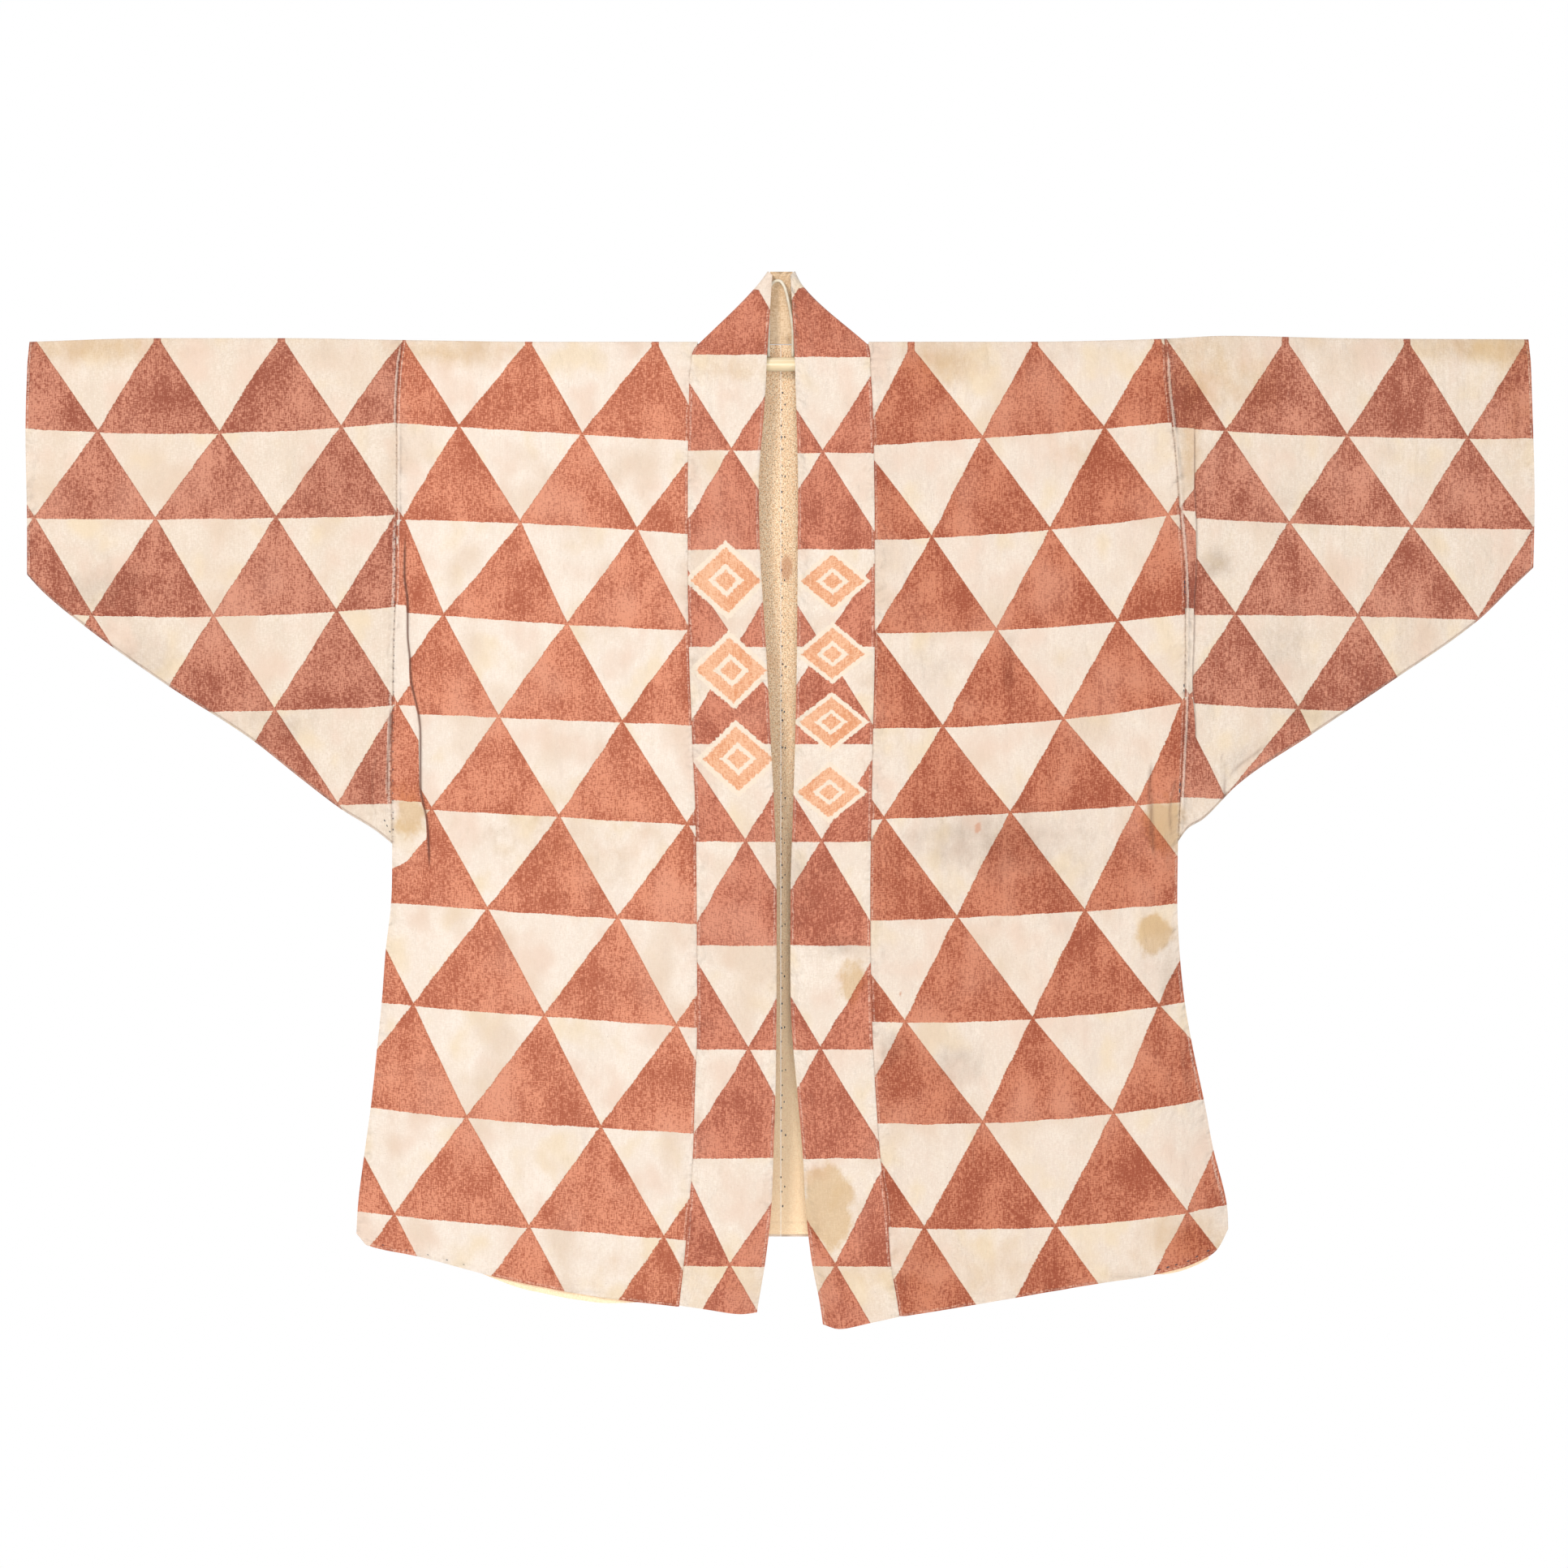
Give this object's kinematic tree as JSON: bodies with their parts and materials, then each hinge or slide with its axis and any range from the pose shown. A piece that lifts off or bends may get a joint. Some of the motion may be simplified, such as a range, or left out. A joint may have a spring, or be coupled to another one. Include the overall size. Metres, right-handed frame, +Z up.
{
  "type": "happi coat on a hanger rod",
  "caption": "Hip-length lined cotton coat with wide folded sleeves and one long collar band, resist-dyed with triangles, hung flat on a plain rod with a wire loop.",
  "frame": {"origin": "inside top of the hanger's wire loop, where a hook or nail holds it", "axes": "+X to the wearer's left, -Y out of the coat's front, +Z up"},
  "size_m": [1.265, 0.0299, 0.8869],
  "materials": {
    "cotton": "plain-woven cotton, cream with brick-red resist-dyed triangles",
    "collar_band": "doubled plain-woven cotton band, brick red and cream",
    "lining": "coarse unbleached cotton, speckled",
    "rod": "smooth ivory lacquer",
    "coated_wire": "white coated wire"
  },
  "bodies": {
    "root": {"body_right": "cotton", "body_left": "cotton", "sleeve_right": "cotton", "sleeve_left": "cotton", "collar": "collar_band", "lining_front_right": "lining", "lining_front_left": "lining", "lining_back_right": "lining", "lining_back_left": "lining", "hanger_rod": "rod", "hanger_loop": "coated_wire"}
  },
  "joints": []
}
